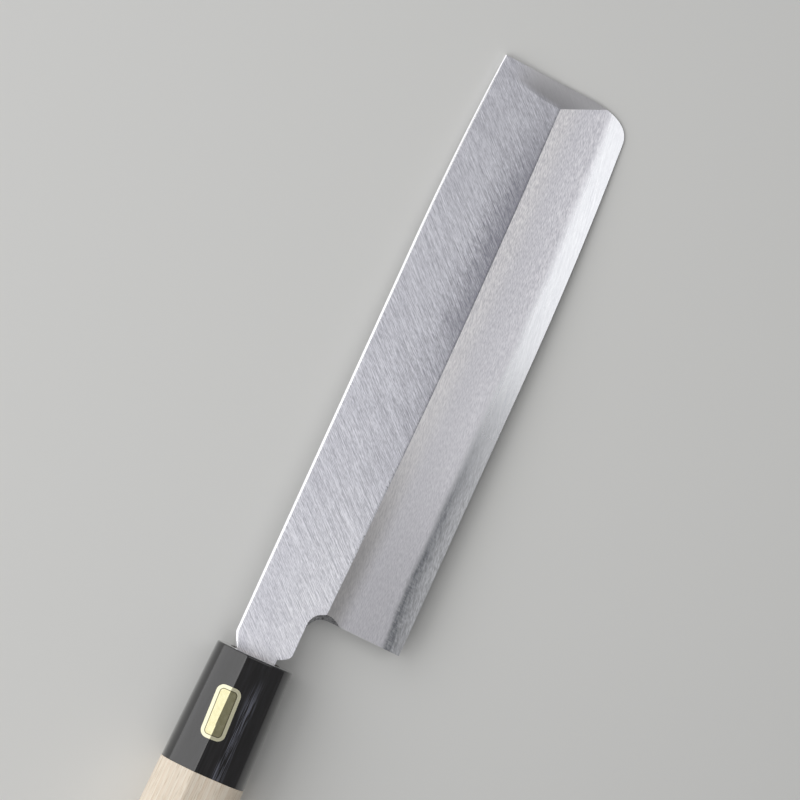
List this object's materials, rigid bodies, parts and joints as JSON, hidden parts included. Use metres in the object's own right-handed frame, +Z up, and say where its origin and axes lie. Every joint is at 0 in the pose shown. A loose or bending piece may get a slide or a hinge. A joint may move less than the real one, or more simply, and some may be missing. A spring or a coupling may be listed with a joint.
{
  "type": "usuba knife",
  "caption": "Single-bevel vegetable knife: tall, straight-edged, square-ended laminated blade, its tang held in a pale wooden handle with a black horn ferrule and a plain gold label.",
  "frame": {"origin": "middle of the knife's box, on the surface that it lies on", "axes": "+X along the knife towards the tip, +Y from the cutting edge to the spine, +Z up, out of the bevelled side"},
  "size_m": [0.3096, 0.0504, 0.027],
  "materials": {
    "soft_iron": "ground across at an angle on the flat, hazy along the bevel",
    "hard_steel": "finely polished band along the edge, satin hollow on the back",
    "black_horn": "polished black buffalo horn",
    "magnolia_wood": "sanded bare, fine straight grain",
    "gold_foil": "plain gold foil with a thin border line"
  },
  "bodies": {
    "root": {"iron_blade_body": "soft_iron", "steel_edge_plate": "hard_steel", "horn_ferrule": "black_horn", "wooden_handle": "magnolia_wood", "foil_label": "gold_foil"}
  },
  "joints": []
}
